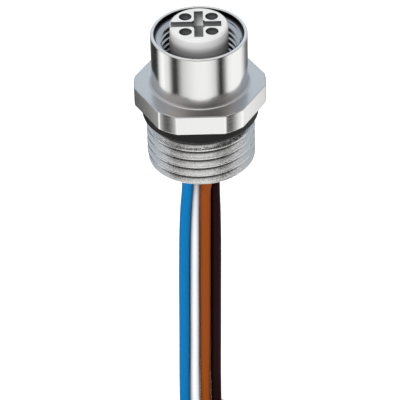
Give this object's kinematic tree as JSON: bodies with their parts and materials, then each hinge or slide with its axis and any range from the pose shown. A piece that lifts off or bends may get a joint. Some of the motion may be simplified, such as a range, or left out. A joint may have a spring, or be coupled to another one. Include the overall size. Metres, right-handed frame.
{
  "type": "circular panel connector",
  "caption": "Round threaded panel receptacle with a hexagonal flange, a flat seal, a socket insert with a cross-shaped coding slot, and single wires tied in a hank",
  "frame": {"origin": "centre of the panel's front face, where the flange seal bears, on the axis of the rear thread", "axes": "+Z points out of the mating mouth, -Z back through the panel; the coding slot's open arm points to -X; a flat of the hexagon faces -Y"},
  "size_m": [0.0192, 0.018, 0.1302],
  "materials": {
    "nickel_plated_brass": "turned brass, bright nickel plated",
    "seal_rubber": "matt black nitrile rubber",
    "carrier_plastic": "injection moulded, light grey, satin",
    "insulator_plastic": "injection moulded, grey, satin",
    "contact_gold": "turned, gold plated",
    "potting_resin": "cast black resin, smooth surface",
    "tinned_copper": "stranded copper, tinned",
    "wire_blue": "extruded PVC, satin",
    "wire_white": "extruded PVC, satin",
    "wire_brown": "extruded PVC, satin",
    "wire_black": "extruded PVC, satin",
    "wire_bundle": null,
    "tie_nylon": "injection moulded nylon, black"
  },
  "bodies": {
    "root": {"housing": "nickel_plated_brass", "panel_seal": "seal_rubber", "contact_carrier": "carrier_plastic", "carrier_seal": "seal_rubber", "rear_insulator": "insulator_plastic", "socket_contact_1": "contact_gold", "socket_contact_2": "contact_gold", "socket_contact_3": "contact_gold", "socket_contact_4": "contact_gold", "potting": "potting_resin", "conductor_blue": "tinned_copper", "conductor_white": "tinned_copper", "conductor_brown": "tinned_copper", "conductor_black": "tinned_copper", "wire_blue": "wire_blue", "wire_white": "wire_white", "wire_brown": "wire_brown", "wire_black": "wire_black", "wire_hank": "wire_bundle", "wire_tie": "tie_nylon"}
  },
  "joints": []
}
